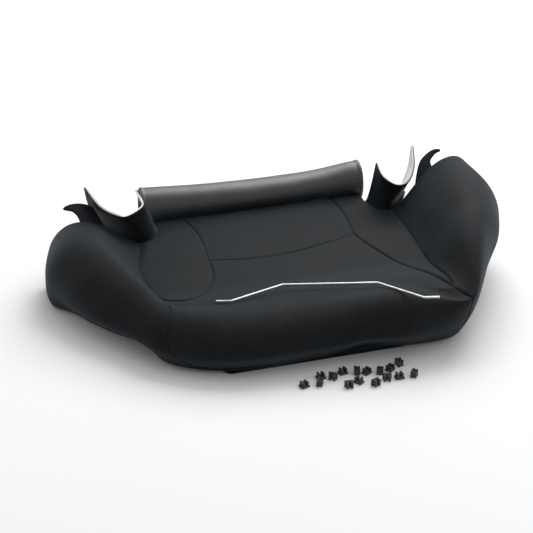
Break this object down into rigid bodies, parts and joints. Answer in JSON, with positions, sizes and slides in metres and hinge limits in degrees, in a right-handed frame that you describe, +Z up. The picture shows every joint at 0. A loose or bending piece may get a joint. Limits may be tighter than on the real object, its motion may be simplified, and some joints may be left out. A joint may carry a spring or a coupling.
{
  "type": "car seat cushion trim cover",
  "caption": "Loose foam-backed cloth trim cover for a car seat cushion, with a curled rear vinyl flap, two rear tongues, a bent listing wire and wire clips.",
  "frame": {"origin": "on the floor under the middle of the cover, on the underside of the front under-flap that the front edge rests on", "axes": "+X to the right when facing the front of the seat, +Y to the back of the seat, +Z up"},
  "size_m": [0.6782, 0.5297, 0.1551],
  "materials": {
    "knit_cloth": "matte charcoal knit",
    "foam_backing": "pale foam with scrim",
    "vinyl": "semi-gloss dark grey vinyl",
    "retainer_plastic": "matte black",
    "sleeve_cloth": "pale nonwoven",
    "listing_wire": "bright drawn steel",
    "clip_plastic": "black moulded"
  },
  "bodies": {
    "cover": {"seat_rear_panel": "knit_cloth", "seat_front_panel": "knit_cloth", "left_thigh_panel": "knit_cloth", "right_thigh_panel": "knit_cloth", "left_bolster_panel": "knit_cloth", "right_bolster_panel": "knit_cloth", "left_hook_tab": "knit_cloth", "right_hook_tab": "knit_cloth", "front_under_flap": "knit_cloth", "front_hem_retainer": "retainer_plastic", "left_hem_retainer": "retainer_plastic", "right_hem_retainer": "retainer_plastic", "transverse_sleeve": "sleeve_cloth", "left_sleeve": "sleeve_cloth", "right_sleeve": "sleeve_cloth", "transverse_wire": "listing_wire", "left_wire": "listing_wire", "right_wire": "listing_wire"},
    "rear_flap": {"rear_flap": "vinyl", "rear_flap_retainer": "retainer_plastic"},
    "left_tongue": {"left_tongue_face": "knit_cloth", "left_tongue_backing": "foam_backing"},
    "right_tongue": {"right_tongue_face": "knit_cloth", "right_tongue_backing": "foam_backing"},
    "loose_wire": {"loose_wire": "listing_wire"},
    "trim_clips": {"trim_clips": "clip_plastic"}
  },
  "joints": [
    {"name": "rear_flap_fold", "type": "hinge", "parent": "cover", "child": "rear_flap", "pos_m": [0, 0.375, 0.0575], "axis": [0.999, 0, 0.0449], "range_deg": [-75, 25]},
    {"name": "left_tongue_bend", "type": "hinge", "parent": "cover", "child": "left_tongue", "pos_m": [-0.19, 0.309, 0.054], "axis": [1, 0, 0], "range_deg": [-20, 10], "stiffness_Nm_per_rad": 0.6},
    {"name": "right_tongue_bend", "type": "hinge", "parent": "cover", "child": "right_tongue", "pos_m": [0.19, 0.309, 0.07], "axis": [1, 0, 0], "range_deg": [-20, 10], "stiffness_Nm_per_rad": 0.6},
    {"name": "loose_wire_lift", "type": "slide", "parent": "cover", "child": "loose_wire", "axis": [0, 0, 1], "range_m": [0, 0.2]},
    {"name": "trim_clips_lift", "type": "slide", "parent": "cover", "child": "trim_clips", "axis": [0, 0, 1], "range_m": [0, 0.2]}
  ]
}
